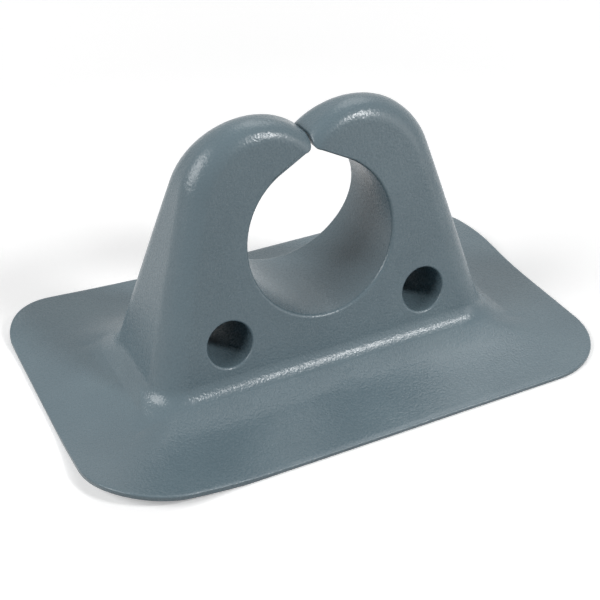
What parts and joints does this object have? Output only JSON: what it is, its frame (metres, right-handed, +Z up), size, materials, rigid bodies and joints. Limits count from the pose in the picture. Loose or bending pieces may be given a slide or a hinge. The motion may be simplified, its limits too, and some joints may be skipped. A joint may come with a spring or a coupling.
{
  "type": "oar clip",
  "caption": "Moulded soft oar clip for an inflatable dinghy: a round seat between two rounded jaws, a cross-drilled foot and a thin glue-on flange.",
  "frame": {"origin": "middle of the underside of the flange, below the axis of the oar seat", "axes": "+X along the flange, +Y along the oar shaft, +Z up out of the glued underside"},
  "size_m": [0.1432, 0.093, 0.0685],
  "materials": {
    "grey_pvc": "matte moulded soft PVC with a fine grain"
  },
  "bodies": {
    "root": {"oar_clip": "grey_pvc"}
  },
  "joints": []
}
